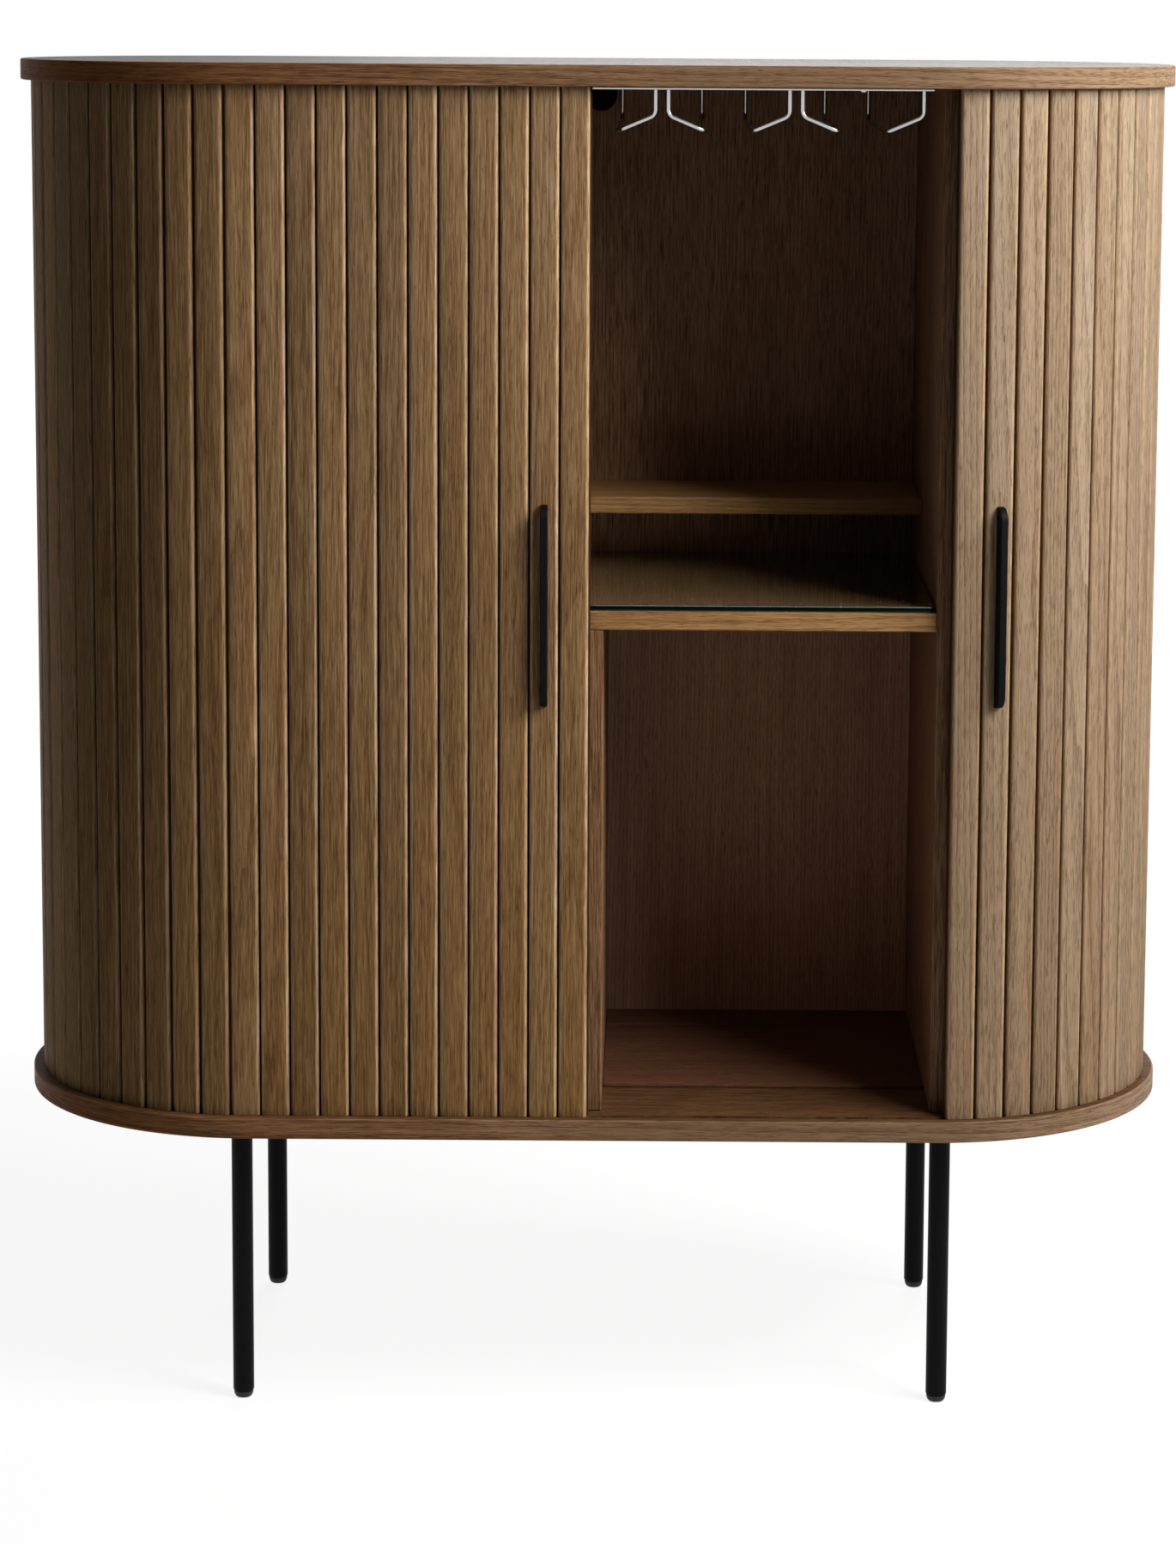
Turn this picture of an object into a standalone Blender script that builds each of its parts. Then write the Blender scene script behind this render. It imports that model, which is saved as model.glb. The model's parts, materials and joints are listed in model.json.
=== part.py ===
"""Bar cabinet on four round legs, with two tambour doors that run round its ends.

Metres, +Z up. The front faces -Y, and the origin is on the floor under the middle of the overall box.
Stored with the left door shut and the right door drawn back.
"""

import bmesh
import bpy
from math import ceil, cos, pi, radians, sin, tan
from mathutils import Matrix, Vector

# Overall sizes
WIDTH = 1.000
DEPTH = 0.420
HEIGHT = 1.150
FLOOR_CLEARANCE = 0.245
TOP_THICKNESS = 0.018
BOTTOM_THICKNESS = 0.018
BOARD_EDGE = 0.0015
END_STEPS = 36

# Fit
GAP = 0.0003

# Slats and their track
OVERHANG = 0.009
SLAT_THICKNESS = 0.008
SLAT_SPACE = 0.00155
SLAT_EDGE = 0.003
EDGE_STEPS = 3
CROSSING_SLATS = 11
WING_LEAD_IN = 0.0017
WING_COVER = radians(100)
WING_BACKING = 0.002
MEETING_GAP = 0.005
OPEN_LEAD = 0.010
TRACK_WIDTH = 0.007
TRACK_DEPTH = 0.005

# Fixed outer back
QUARTER_CLEARANCE = 0.0015
QUARTER_THICKNESS = 0.005
QUARTER_BACKING = 0.0025
QUARTER_START = radians(97)
FLUTES = 12
FLUTE_SPACE = 0.0022
FLUTE_EDGE = 0.0015

# Inner box
SIDE_THICKNESS = 0.016
SIDE_SETBACK = 0.001
FRONT_CLEARANCE = 0.013
BACK_CAVITY = 0.030
BACK_THICKNESS = 0.008
PANEL_EDGE = 0.0006
DIVIDER_THICKNESS = 0.018
LOWER_CLEAR_HEIGHT = 0.415
NICHE_THICKNESS = 0.016
GLASS_THICKNESS = 0.005
GLASS_MARGIN = 0.002
GLASS_EDGE = 0.0008
SHELF_RISE = 0.056
SHELF_THICKNESS = 0.015
SHELF_DEPTH = 0.125
FLOOR_THICKNESS = 0.003
FLOOR_SETBACK = 0.075
SLOT_WIDTH = 0.030
SLOT_DROP = 0.029
SLOT_STEPS = 12

# Stemmed glass rack
RACK_CHANNELS = 5
RACK_SIDE_CLEARANCE = 0.0115
STRIP_OVERRUN = 0.0035
STRIP_WIDTH = 0.020
STRIP_THICKNESS = 0.002
STRIP_EDGE = 0.0003
STRIP_FRONT_OVERHANG = 0.006
STRIP_BACK_SETBACK = 0.015
WIRE_DIAMETER = 0.004
WIRE_POST_OFFSET = 0.00535
WIRE_POST_DROP = 0.021
WIRE_TIP_OFFSET = 0.036
WIRE_TIP_DROP = 0.034
WIRE_BEND = 0.007
BEND_STEPS = 3

# Legs
LEG_DIAMETER = 0.018
LEG_OUTSIDE_RUN = 0.010
LEG_EDGE_DISTANCE = 0.055
LEG_CHAMFER = 0.002
FLANGE_DIAMETER = 0.060
FLANGE_THICKNESS = 0.004
GLIDE_HEIGHT = 0.006
GLIDE_DIAMETER = 0.016
GLIDE_EDGE = 0.002
TURN_STEPS = 24

# Handles
HANDLE_SLAT = 2
HANDLE_LENGTH = 0.170
HANDLE_REACH = 0.013
HANDLE_WIDTH = 0.0062
HANDLE_CORNER = 0.012
HANDLE_EDGE = 0.0004
HANDLE_RAISE = 0.004
CORNER_STEPS = 6

# Derived places
END_RADIUS = DEPTH / 2
HALF_RUN = WIDTH / 2 - END_RADIUS
FACE_RADIUS = END_RADIUS - OVERHANG
BACK_RADIUS = FACE_RADIUS - SLAT_THICKNESS
HALF_GAP = MEETING_GAP / 2
SLAT_PITCH = (HALF_RUN + WING_LEAD_IN - HALF_GAP) / (CROSSING_SLATS + 0.5)
SLAT_WIDTH = SLAT_PITCH - SLAT_SPACE
WING_SLATS = ceil(BACK_RADIUS * WING_COVER / SLAT_PITCH + 0.5)
TRAVEL = HALF_RUN + OPEN_LEAD - HALF_GAP
QUARTER_RADIUS = FACE_RADIUS + QUARTER_CLEARANCE
FLOOR_Z = FLOOR_CLEARANCE + BOTTOM_THICKNESS
CEILING_Z = HEIGHT - TOP_THICKNESS
SIDE_X = HALF_RUN - SIDE_SETBACK
FRONT_Y = FRONT_CLEARANCE - BACK_RADIUS
BACK_Y = BACK_RADIUS - BACK_CAVITY - BACK_THICKNESS
NICHE_Z = FLOOR_Z + LOWER_CLEAR_HEIGHT
GLASS_Z = NICHE_Z + NICHE_THICKNESS
SHELF_Z = GLASS_Z + SHELF_RISE
RACK_PITCH = 2 * (SIDE_X - RACK_SIDE_CLEARANCE) / RACK_CHANNELS
BOX_SHIFT = (FACE_RADIUS + HANDLE_REACH - END_RADIUS) / 2

OAK = ("smoked_oak", (0.30, 0.19, 0.105), 0.55, 0.0)
DARK_OAK = ("inner_oak", (0.20, 0.12, 0.065), 0.6, 0.0)
BLACK = ("black_steel", (0.012, 0.012, 0.013), 0.45, 0.6)
CHROME = ("chrome_wire", (0.72, 0.72, 0.73), 0.12, 1.0)
GLASS = ("clear_glass", (0.55, 0.66, 0.62), 0.05, 0.0)
PLASTIC = ("black_plastic", (0.02, 0.02, 0.02), 0.6, 0.0)

CABINET = bpy.data.collections.new("bar_cabinet")
CUTTERS = bpy.data.collections.new("bar_cabinet_cutters")


def clear_scene():
    for old in list(bpy.data.objects):
        bpy.data.objects.remove(old, do_unlink=True)
    bpy.context.scene.collection.children.link(CABINET)
    bpy.context.scene.collection.children.link(CUTTERS)


def material(finish):
    name, colour, roughness, metallic = finish
    made = bpy.data.materials.get(name)
    if made is None:
        made = bpy.data.materials.new(name)
        made.use_nodes = True
        shader = made.node_tree.nodes["Principled BSDF"]
        shader.inputs["Base Color"].default_value = (*colour, 1.0)
        shader.inputs["Roughness"].default_value = roughness
        shader.inputs["Metallic"].default_value = metallic
    return made


def pivot(name, x=0.0, y=0.0):
    """An empty on an upright axis, at a plan place measured from the middle of the boards."""
    empty = bpy.data.objects.new(name, None)
    empty.location = (x, y + BOX_SHIFT, 0)
    CABINET.objects.link(empty)
    return empty


def place(obj, finish, parent, location=(0, 0, 0), turn=0.0):
    """Hangs an object on a pivot, at a place measured from the middle of the boards."""
    for holder in list(obj.users_collection):
        holder.objects.unlink(obj)
    CABINET.objects.link(obj)
    obj.data.materials.clear()
    obj.data.materials.append(material(finish))
    obj.parent = parent
    middle = Vector((0, BOX_SHIFT, 0)) - parent.location
    obj.location = middle + Vector(location)
    obj.rotation_euler.z = turn
    return obj


def as_cutter(obj):
    obj.hide_render = True
    obj.display_type = "WIRE"
    for holder in list(obj.users_collection):
        holder.objects.unlink(obj)
    CUTTERS.objects.link(obj)
    return obj


def cut(obj, cutter):
    modifier = obj.modifiers.new("cut_" + cutter.name, "BOOLEAN")
    modifier.object = cutter
    modifier.operation = "DIFFERENCE"
    modifier.solver = "EXACT"


def curve_object(name, data):
    obj = bpy.data.objects.new(name, data)
    CABINET.objects.link(obj)
    return obj


def outline_solid(name, outlines, thickness, edge=0.0):
    """A flat outline in the XY plane, filled and thickened evenly about z = 0."""
    data = bpy.data.curves.new(name, "CURVE")
    data.dimensions = "2D"
    data.fill_mode = "BOTH"
    data.extrude = thickness / 2 - edge
    data.bevel_depth = edge
    data.bevel_resolution = 1
    data.offset = -edge
    for outline in outlines:
        spline = data.splines.new("POLY")
        spline.points.add(len(outline) - 1)
        spline.use_cyclic_u = True
        for point, (x, y) in zip(spline.points, outline):
            point.co = (x, y, 0, 1)
    return curve_object(name, data)


def to_mesh(curve):
    """The same solid as one welded mesh, so that it can be cut or can cut."""
    bpy.context.view_layer.update()
    evaluated = curve.evaluated_get(bpy.context.evaluated_depsgraph_get())
    mesh = bpy.data.meshes.new_from_object(evaluated)
    name = curve.name
    matrix = curve.matrix_world.copy()
    bpy.data.objects.remove(curve, do_unlink=True)
    skin = bmesh.new()
    skin.from_mesh(mesh)
    bmesh.ops.remove_doubles(skin, verts=skin.verts, dist=1e-6)
    bmesh.ops.recalc_face_normals(skin, faces=skin.faces)
    skin.to_mesh(mesh)
    skin.free()
    obj = bpy.data.objects.new(name, mesh)
    obj.matrix_world = matrix
    CABINET.objects.link(obj)
    return obj


def panel(name, low, high, finish, parent, edge=PANEL_EDGE):
    """A flat board between two corners, with softened edges."""
    size = Vector(high) - Vector(low)
    bpy.ops.mesh.primitive_cube_add(size=1)
    obj = bpy.context.object
    obj.name = name
    obj.data.transform(Matrix.Diagonal((*size, 1)))
    bevel = obj.modifiers.new("edge", "BEVEL")
    bevel.width = edge
    bevel.segments = 1
    return place(obj, finish, parent, (Vector(low) + Vector(high)) / 2)


def arc(centre, radius, start, end, steps):
    """Points on an arc, both ends included."""
    turns = [start + (end - start) * i / steps for i in range(steps + 1)]
    return [(centre[0] + radius * cos(a), centre[1] + radius * sin(a)) for a in turns]


def stadium(half_run, radius, steps=END_STEPS):
    """A straight-sided outline with half-round ends, anticlockwise."""
    right = arc((half_run, 0), radius, -pi / 2, pi / 2, steps)
    left = arc((-half_run, 0), radius, pi / 2, 3 * pi / 2, steps)
    return right + left


def on_end(side, radius, angle):
    """Plan place and turn on a round end. The angle runs from the front's end to the back."""
    place_xy = Vector((side * (HALF_RUN + radius * sin(angle)), -radius * cos(angle)))
    return place_xy, side * angle


def on_track(side, run):
    """Plan place and turn of a slat's back face, at a run along the track from the middle of the front."""
    if run <= HALF_RUN:
        return Vector((side * run, -BACK_RADIUS)), 0.0
    return on_end(side, BACK_RADIUS, (run - HALF_RUN) / BACK_RADIUS)


def slat_run(number):
    """A slat's run along the track when its door is shut, counted from the door's leading edge."""
    return HALF_GAP + (number - 0.5) * SLAT_PITCH


def hinge_place(first, second, turn):
    """The point about which a turn carries the first plan place to the second."""
    chord = second - first
    square = Vector((-chord.y, chord.x))
    return (first + second) / 2 + square / (2 * tan(turn / 2))


def slat_face(width, thickness, edge, left_foot=0.0, right_foot=0.0):
    """The front of a slat from one side to the other, with rounded edges. Its back face is y = 0."""
    half = width / 2
    left = arc((edge - half, edge - thickness), edge, pi, 3 * pi / 2, EDGE_STEPS)
    right = arc((half - edge, edge - thickness), edge, -pi / 2, 0, EDGE_STEPS)
    return [(-half, -left_foot)] + left + right + [(half, -right_foot)]


def turned(points, spot, turn):
    c, s = cos(turn), sin(turn)
    return [(spot.x + c * x - s * y, spot.y + s * x + c * y) for x, y in points]


def fluted(poses, width, space, thickness, edge, backing):
    """One outline of neighbouring slats, from left to right as seen from outside.
    Between two slats the front dips to their shared backing, and the back has one corner.
    """
    last = len(poses) - 1
    front = []
    back = []
    for i, (spot, turn) in enumerate(poses):
        left_foot = backing if i > 0 else 0.0
        right_foot = backing if i < last else 0.0
        front += turned(slat_face(width, thickness, edge, left_foot, right_foot), spot, turn)
        if i < last:
            back += turned([((width + space) / 2, 0)], spot, turn)
    return front + back[::-1]


def left_to_right(side, poses):
    return poses if side > 0 else poses[::-1]


def track_cutter(name, z):
    """The endless groove that both doors run in."""
    middle = BACK_RADIUS + SLAT_THICKNESS / 2
    outer = stadium(HALF_RUN, middle + TRACK_WIDTH / 2)
    inner = stadium(HALF_RUN, middle - TRACK_WIDTH / 2)
    ring = outline_solid(name, [outer, inner[::-1]], 2 * TRACK_DEPTH)
    ring.location = (0, BOX_SHIFT, z)
    return as_cutter(to_mesh(ring))


def board(name, low, thickness, track_z, frame):
    """A stadium board with the track milled into one face."""
    outline = outline_solid(name, [stadium(HALF_RUN, END_RADIUS)], thickness, BOARD_EDGE)
    solid = to_mesh(outline)
    place(solid, OAK, frame, (0, 0, low + thickness / 2))
    cut(solid, track_cutter(name + "_track", track_z))


def boards(frame):
    board("bottom_board", FLOOR_CLEARANCE, BOTTOM_THICKNESS, FLOOR_Z, frame)
    board("top_board", CEILING_Z, TOP_THICKNESS, CEILING_Z, frame)


def inner_box(frame):
    low = FLOOR_Z + GAP
    high = CEILING_Z - GAP
    back_end = BACK_Y + BACK_THICKNESS
    inside = SIDE_X - GAP
    for side, name in ((-1, "left_side_panel"), (1, "right_side_panel")):
        near, far = sorted((side * SIDE_X, side * (SIDE_X + SIDE_THICKNESS)))
        panel(name, (near, FRONT_Y, low), (far, back_end, high), DARK_OAK, frame)
    back = panel("inner_back", (-inside, BACK_Y, low), (inside, back_end, high), DARK_OAK, frame)
    cut(back, slot_cutter())
    half = DIVIDER_THICKNESS / 2
    behind = BACK_Y - GAP
    panel("centre_divider", (-half, FRONT_Y, low), (half, behind, NICHE_Z - GAP), DARK_OAK, frame)
    niche_top = GLASS_Z - GAP
    panel("niche_board", (-inside, FRONT_Y, NICHE_Z), (inside, behind, niche_top), DARK_OAK, frame)
    shelf_front = BACK_Y - SHELF_DEPTH
    shelf_top = SHELF_Z + SHELF_THICKNESS
    panel("upper_shelf", (-inside, shelf_front, SHELF_Z), (inside, behind, shelf_top), DARK_OAK, frame)
    glass_x = inside - GLASS_MARGIN
    glass_low = (-glass_x, FRONT_Y + GLASS_MARGIN, GLASS_Z)
    glass_high = (glass_x, behind - GLASS_MARGIN, GLASS_Z + GLASS_THICKNESS)
    panel("glass_plate", glass_low, glass_high, GLASS, frame, GLASS_EDGE)
    for side, name in ((-1, "left_floor_panel"), (1, "right_floor_panel")):
        near, far = sorted((side * (half + GAP), side * inside))
        floor_low = (near, FRONT_Y + FLOOR_SETBACK, low)
        panel(name, floor_low, (far, behind, low + FLOOR_THICKNESS), DARK_OAK, frame)


def slot_cutter():
    """A slot with a half-round lower end, open at the top of the inner back."""
    radius = SLOT_WIDTH / 2
    round_end = arc((0, radius - SLOT_DROP), radius, pi, 2 * pi, SLOT_STEPS)
    outline = round_end + [(radius, SLOT_DROP), (-radius, SLOT_DROP)]
    slot = outline_solid("back_slot", [outline], 4 * BACK_THICKNESS)
    slot.location = (0, BOX_SHIFT + BACK_Y + BACK_THICKNESS / 2, CEILING_Z - GAP)
    slot.rotation_euler.x = pi / 2
    return as_cutter(to_mesh(slot))


def outer_back(frame):
    height = CEILING_Z - FLOOR_Z - 2 * GAP
    middle = (0, 0, (FLOOR_Z + CEILING_Z) / 2)
    step = (pi - QUARTER_START) / FLUTES
    width = QUARTER_RADIUS * step - FLUTE_SPACE
    for side, name in ((-1, "left_rear_quarter"), (1, "right_rear_quarter")):
        angles = [QUARTER_START + (i + 0.5) * step for i in range(FLUTES)]
        poses = left_to_right(side, [on_end(side, QUARTER_RADIUS, angle) for angle in angles])
        outline = fluted(poses, width, FLUTE_SPACE, QUARTER_THICKNESS, FLUTE_EDGE, QUARTER_BACKING)
        place(outline_solid(name, [outline], height), OAK, frame, middle)
    low = (-HALF_RUN, QUARTER_RADIUS, FLOOR_Z + GAP)
    high = (HALF_RUN, QUARTER_RADIUS + QUARTER_THICKNESS, CEILING_Z - GAP)
    panel("back_panel", low, high, OAK, frame)


def bent(points, radius):
    """A wire's route with each inner corner rounded."""
    route = [points[0]]
    for before, corner, after in zip(points, points[1:], points[2:]):
        start = (before - corner).normalized()
        end = (after - corner).normalized()
        half_angle = start.angle(end) / 2
        centre = corner + (start + end).normalized() * radius / sin(half_angle)
        reach = radius / tan(half_angle)
        first = corner + start * reach - centre
        last = corner + end * reach - centre
        sweep = first.angle(last)
        for i in range(BEND_STEPS + 1):
            share = i / BEND_STEPS
            mixed = first * sin((1 - share) * sweep) + last * sin(share * sweep)
            route.append(centre + mixed / sin(sweep))
    return route + [points[-1]]


def rack_wire(name, middle_x, way, front_y, rear_y, top_z, frame):
    """A bent wire: down at the front, out to its tip, along to the rear and up again."""
    post_x = middle_x + way * WIRE_POST_OFFSET
    tip_x = middle_x + way * WIRE_TIP_OFFSET
    corners = [
        Vector((post_x, front_y, top_z)),
        Vector((post_x, front_y, top_z - WIRE_POST_DROP)),
        Vector((tip_x, front_y, top_z - WIRE_TIP_DROP)),
        Vector((tip_x, rear_y, top_z - WIRE_TIP_DROP)),
        Vector((tip_x, rear_y, top_z)),
    ]
    data = bpy.data.curves.new(name, "CURVE")
    data.dimensions = "3D"
    data.bevel_depth = WIRE_DIAMETER / 2
    data.bevel_resolution = 2
    data.use_fill_caps = True
    route = bent(corners, WIRE_BEND)
    spline = data.splines.new("POLY")
    spline.points.add(len(route) - 1)
    for point, spot in zip(spline.points, route):
        point.co = (*spot, 1)
    place(curve_object(name, data), CHROME, frame)


def glass_rack(frame):
    high = CEILING_Z - GAP
    low = high - STRIP_THICKNESS
    half_length = RACK_CHANNELS * RACK_PITCH / 2 + STRIP_OVERRUN
    front = FRONT_Y - STRIP_FRONT_OVERHANG
    rear = BACK_Y - STRIP_BACK_SETBACK
    strips = (("rack_front_strip", front), ("rack_rear_strip", rear - STRIP_WIDTH))
    for name, start in strips:
        strip_high = (half_length, start + STRIP_WIDTH, high)
        panel(name, (-half_length, start, low), strip_high, CHROME, frame, STRIP_EDGE)
    front_post = front + STRIP_WIDTH / 2
    rear_post = rear - STRIP_WIDTH / 2
    number = 0
    for hanger in range(RACK_CHANNELS + 1):
        middle_x = (hanger - RACK_CHANNELS / 2) * RACK_PITCH
        for way in (-1, 1):
            outside = (hanger == 0 and way < 0) or (hanger == RACK_CHANNELS and way > 0)
            if outside:
                continue
            number += 1
            rack_wire(f"rack_wire_{number}", middle_x, way, front_post, rear_post, low - GAP, frame)


def turned_solid(name, profile, finish, frame, location):
    """A profile of radius and height, from the top down, turned round an upright axis."""
    points = [(radius, 0, z) for radius, z in profile]
    edges = [(i, i + 1) for i in range(len(points) - 1)]
    mesh = bpy.data.meshes.new(name)
    mesh.from_pydata(points, edges, [])
    obj = bpy.data.objects.new(name, mesh)
    CABINET.objects.link(obj)
    screw = obj.modifiers.new("turn", "SCREW")
    screw.steps = TURN_STEPS
    screw.render_steps = TURN_STEPS
    screw.use_merge_vertices = True
    screw.merge_threshold = 0.00001
    screw.use_smooth_shade = True
    return place(obj, finish, frame, location)


def legs(frame):
    top = FLOOR_CLEARANCE - GAP
    below_flange = top - FLANGE_THICKNESS
    radius = LEG_DIAMETER / 2
    leg_profile = [
        (0, top),
        (FLANGE_DIAMETER / 2, top),
        (FLANGE_DIAMETER / 2, below_flange),
        (radius, below_flange),
        (radius, GLIDE_HEIGHT + LEG_CHAMFER),
        (radius - LEG_CHAMFER / 2, GLIDE_HEIGHT),
        (0, GLIDE_HEIGHT),
    ]
    glide_radius = GLIDE_DIAMETER / 2
    glide_top = GLIDE_HEIGHT - GAP
    glide_profile = [
        (0, glide_top),
        (glide_radius, glide_top),
        (glide_radius, GLIDE_EDGE),
        (glide_radius - GLIDE_EDGE, 0),
        (0, 0),
    ]
    for side, side_name in ((-1, "left"), (1, "right")):
        for depth, depth_name in ((-1, "front"), (1, "rear")):
            spot = (side * (HALF_RUN + LEG_OUTSIDE_RUN), depth * (END_RADIUS - LEG_EDGE_DISTANCE), 0)
            name = f"{depth_name}_{side_name}"
            turned_solid(name + "_leg", leg_profile, BLACK, frame, spot)
            turned_solid(name + "_glide", glide_profile, PLASTIC, frame, spot)


def handle(name, spot, turn, slat_pivot):
    """A solid fin to pull by: an outline of height and reach with round outer corners."""
    half = HANDLE_LENGTH / 2
    corner_x = half - HANDLE_CORNER
    corner_y = HANDLE_REACH - HANDLE_CORNER
    upper = arc((corner_x, corner_y), HANDLE_CORNER, 0, pi / 2, CORNER_STEPS)
    lower = arc((-corner_x, corner_y), HANDLE_CORNER, pi / 2, pi, CORNER_STEPS)
    outline = [(half, GAP)] + upper + lower + [(-half, GAP)]
    obj = outline_solid(name, [outline], HANDLE_WIDTH, HANDLE_EDGE)
    out_from_slat = Vector((sin(turn), -cos(turn)))
    face = spot + out_from_slat * SLAT_THICKNESS
    middle_z = (FLOOR_Z + CEILING_Z) / 2 + HANDLE_RAISE
    place(obj, BLACK, slat_pivot, (face.x, face.y, middle_z))
    upright = Matrix(((0, 0, 1), (0, -1, 0), (1, 0, 0)))
    obj.rotation_euler = (Matrix.Rotation(turn, 3, "Z") @ upright).to_euler()


def door(side, side_name, drawn):
    """One tambour door, drawn back by a run along its track from shut."""
    height = CEILING_Z - FLOOR_Z - 2 * GAP
    middle_z = (FLOOR_Z + CEILING_Z) / 2
    for number in range(1, CROSSING_SLATS + 1):
        shut_spot, shut_turn = on_track(side, slat_run(number))
        open_spot, open_turn = on_track(side, slat_run(number) + TRAVEL)
        axis = hinge_place(shut_spot, open_spot, open_turn - shut_turn)
        name = f"{side_name}_slat_{number}"
        slat_pivot = pivot(name + "_pivot", axis.x, axis.y)
        spot, turn = on_track(side, slat_run(number) + drawn)
        outline = slat_face(SLAT_WIDTH, SLAT_THICKNESS, SLAT_EDGE)
        slat = outline_solid(name, [outline], height)
        place(slat, OAK, slat_pivot, (spot.x, spot.y, middle_z), turn)
        if number == HANDLE_SLAT:
            handle(side_name + "_handle", spot, turn, slat_pivot)
    numbers = range(CROSSING_SLATS + 1, CROSSING_SLATS + WING_SLATS + 1)
    angles = [(slat_run(number) + drawn - HALF_RUN) / BACK_RADIUS for number in numbers]
    poses = left_to_right(side, [on_end(side, BACK_RADIUS, angle) for angle in angles])
    centre = Vector((side * HALF_RUN, 0))
    around = [(spot - centre, turn) for spot, turn in poses]
    outline = fluted(around, SLAT_WIDTH, SLAT_SPACE, SLAT_THICKNESS, SLAT_EDGE, WING_BACKING)
    wing_pivot = pivot(side_name + "_wing_pivot", centre.x, centre.y)
    wing = outline_solid(side_name + "_wing", [outline], height)
    place(wing, OAK, wing_pivot, (centre.x, centre.y, middle_z))


def main():
    clear_scene()
    frame = pivot("cabinet_middle")
    boards(frame)
    inner_box(frame)
    outer_back(frame)
    glass_rack(frame)
    legs(frame)
    door(-1, "left", 0.0)
    door(1, "right", TRAVEL)


main()
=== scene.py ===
import json
import math
import bmesh
import bpy
import numpy as np
from mathutils import Matrix, Vector


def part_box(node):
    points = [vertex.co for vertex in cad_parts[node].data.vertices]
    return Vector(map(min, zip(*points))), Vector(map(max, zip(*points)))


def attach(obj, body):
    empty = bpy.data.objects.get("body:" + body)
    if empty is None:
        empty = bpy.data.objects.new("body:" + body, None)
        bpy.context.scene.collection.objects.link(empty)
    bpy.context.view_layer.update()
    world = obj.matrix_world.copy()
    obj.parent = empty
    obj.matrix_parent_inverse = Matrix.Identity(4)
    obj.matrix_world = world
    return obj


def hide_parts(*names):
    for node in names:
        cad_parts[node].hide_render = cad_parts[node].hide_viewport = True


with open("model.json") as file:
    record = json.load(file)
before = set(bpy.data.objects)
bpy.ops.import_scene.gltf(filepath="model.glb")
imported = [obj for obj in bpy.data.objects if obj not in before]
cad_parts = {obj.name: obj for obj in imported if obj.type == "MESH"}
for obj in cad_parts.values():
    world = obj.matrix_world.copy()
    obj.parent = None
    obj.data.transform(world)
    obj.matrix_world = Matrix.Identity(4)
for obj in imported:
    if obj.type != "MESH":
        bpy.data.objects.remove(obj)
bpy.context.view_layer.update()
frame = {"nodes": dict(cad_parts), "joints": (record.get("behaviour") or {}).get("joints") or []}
print("frame loaded:", len(frame["nodes"]), "solids")

# Measures taken from the frame
topLow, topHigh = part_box("top_board")
slatLow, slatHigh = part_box("left_slat_1")
endRadius = (topHigh.y - topLow.y) / 2
halfRun = (topHigh.x - topLow.x) / 2 - endRadius
middleY = (topHigh.y + topLow.y) / 2
slatPitch = slatLow.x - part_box("left_slat_2")[0].x
slatWidth = slatHigh.x - slatLow.x
slatThickness = slatHigh.y - slatLow.y
trackRadius = middleY - slatHigh.y  # the track's radius at the slats' backs
firstRun = -(slatLow.x + slatHigh.x) / 2
doorSwing = next(j["range_deg"][1] for j in frame["joints"] if j["name"] == "left_door")
doorTravel = math.radians(doorSwing) * trackRadius
crossingSlats = sum(name.startswith("left_slat_") for name in frame["nodes"])


# an operator as a Math node on two values, turned round for a reflected one
def operator(kind, turned=False):
    def work(self, value):
        return self.maths(kind, value, self) if turned else self.maths(kind, self, value)

    return work


# a socket in a material; arithmetic on it adds Math nodes
class Wire:
    __add__ = __radd__ = operator("ADD")
    __mul__ = __rmul__ = operator("MULTIPLY")
    __sub__ = operator("SUBTRACT")
    __rsub__ = operator("SUBTRACT", True)
    __truediv__ = operator("DIVIDE")
    __pow__ = operator("POWER")

    def __init__(self, tree, socket=None):
        self.tree = tree
        self.socket = socket

    # any node: its type, its settings, then the values or links of its sockets
    def node(self, kind, settings=None, sockets=None, output=0):
        made = self.tree.nodes.new("ShaderNode" + kind)
        for key, value in (settings or {}).items():
            if key == "stops":
                fillRamp(made.color_ramp, value)
            else:
                setattr(made, key, value)
        for key, value in (sockets or {}).items():
            if isinstance(value, Wire):
                self.tree.links.new(value.socket, made.inputs[key])
            else:
                made.inputs[key].default_value = value
        return Wire(self.tree, made.outputs[output] if made.outputs else None)

    def other(self, output):
        return Wire(self.tree, self.socket.node.outputs[output])

    def maths(self, operation, first, second=0.0, clamp=False):
        return self.node("Math", {"operation": operation, "use_clamp": clamp}, {0: first, 1: second})

    def clamped(self):
        return self.maths("ADD", self, 0.0, clamp=True)

    def parts(self):
        split = self.node("SeparateXYZ", None, {0: self})
        return split, split.other(1), split.other(2)

    def joined(self, x, y, z):
        return self.node("CombineXYZ", None, {0: x, 1: y, 2: z})

    # noise on three values, each with its own number of waves to the unit
    def noise(self, place, waves, detail, roughness):
        scaled = self.joined(*(value * count for value, count in zip(place, waves)))
        sockets = {"Vector": scaled, "Scale": 1.0, "Detail": detail, "Roughness": roughness}
        return self.node("TexNoise", None, sockets)

    def mix(self, share, first, second, blend="MIX"):
        settings = {"data_type": "RGBA", "blend_type": blend}
        return self.node("Mix", settings, {0: share, 6: first, 7: second}, output=2)

    # this colour times another
    def tinted(self, colour):
        return self.mix(1.0, self, colour, "MULTIPLY")

    def bump(self, height, given):
        return self.node("Bump", None, {**given, "Height": height})


def fillRamp(ramp, stops):
    while len(ramp.elements) < len(stops):
        ramp.elements.new(0.5)
    for element, (position, colour) in zip(ramp.elements, stops):
        element.position = position
        element.color = (*colour, 1.0)


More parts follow.
